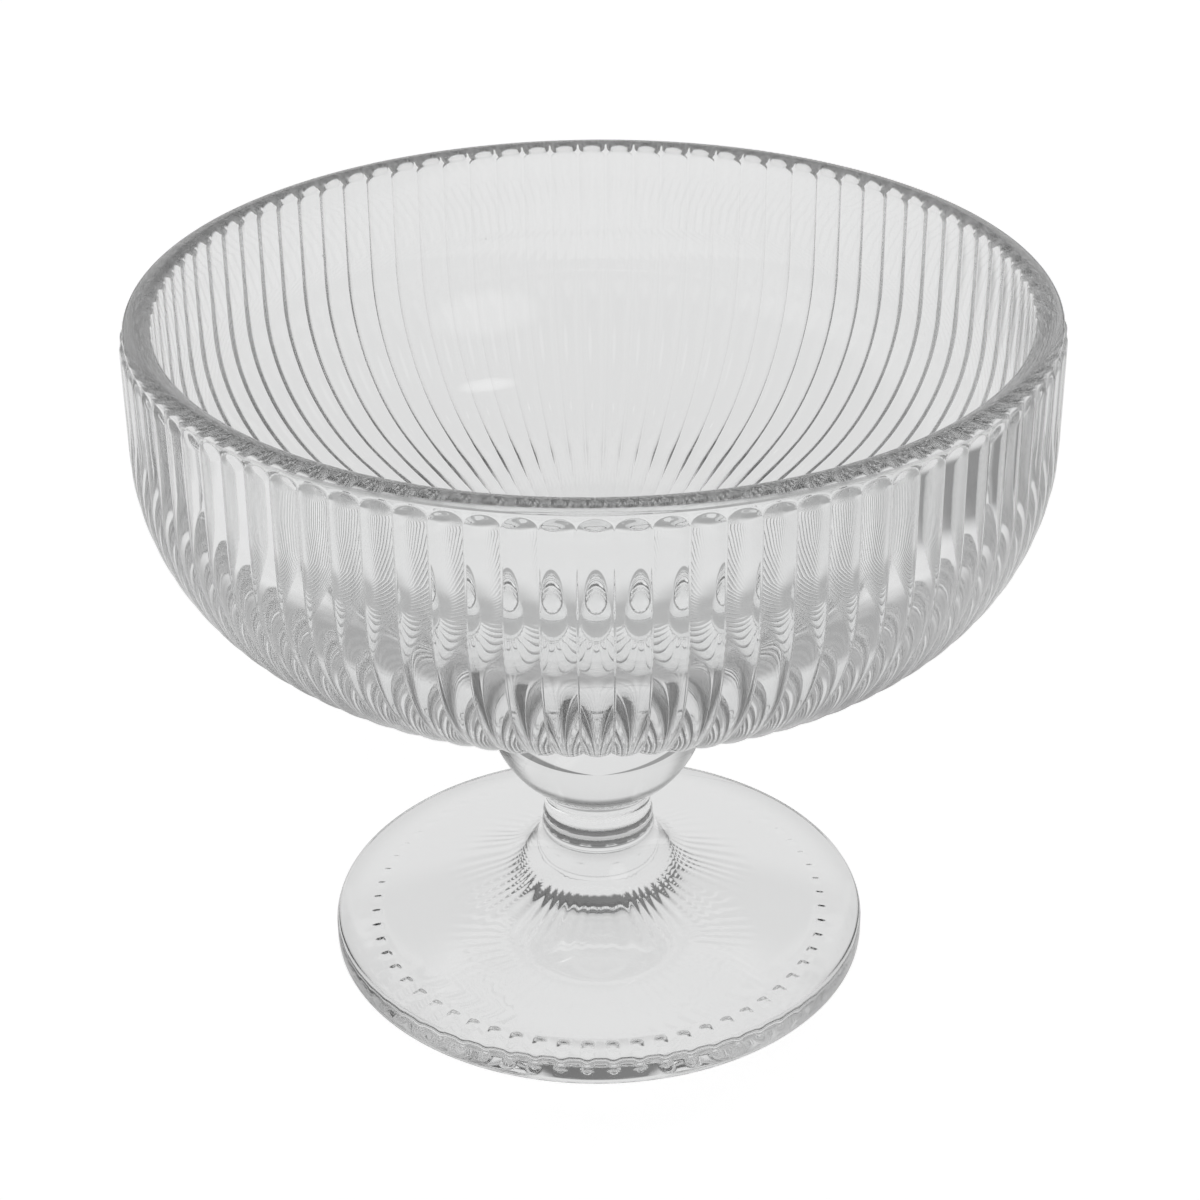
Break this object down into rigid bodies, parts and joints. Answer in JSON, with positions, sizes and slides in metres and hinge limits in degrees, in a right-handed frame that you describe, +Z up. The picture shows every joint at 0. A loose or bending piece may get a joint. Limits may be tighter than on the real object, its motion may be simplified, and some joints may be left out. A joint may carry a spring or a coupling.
{
  "type": "footed dessert glass",
  "caption": "Footed dessert coupe in clear pressed glass: wide ribbed bowl fused to a ball knop, a short stem and a flared round foot, for ice cream, fruit or a parfait.",
  "frame": {"origin": "centre of the foot's underside, on the plane that the glass stands on", "axes": "+Z up along the axis of the glass; X and Y are free, because the glass is round"},
  "size_m": [0.1104, 0.1104, 0.09],
  "materials": {
    "clear_glass": "gloss"
  },
  "bodies": {
    "root": {"bowl": "clear_glass", "knop": "clear_glass", "stem": "clear_glass", "foot": "clear_glass"}
  },
  "joints": []
}
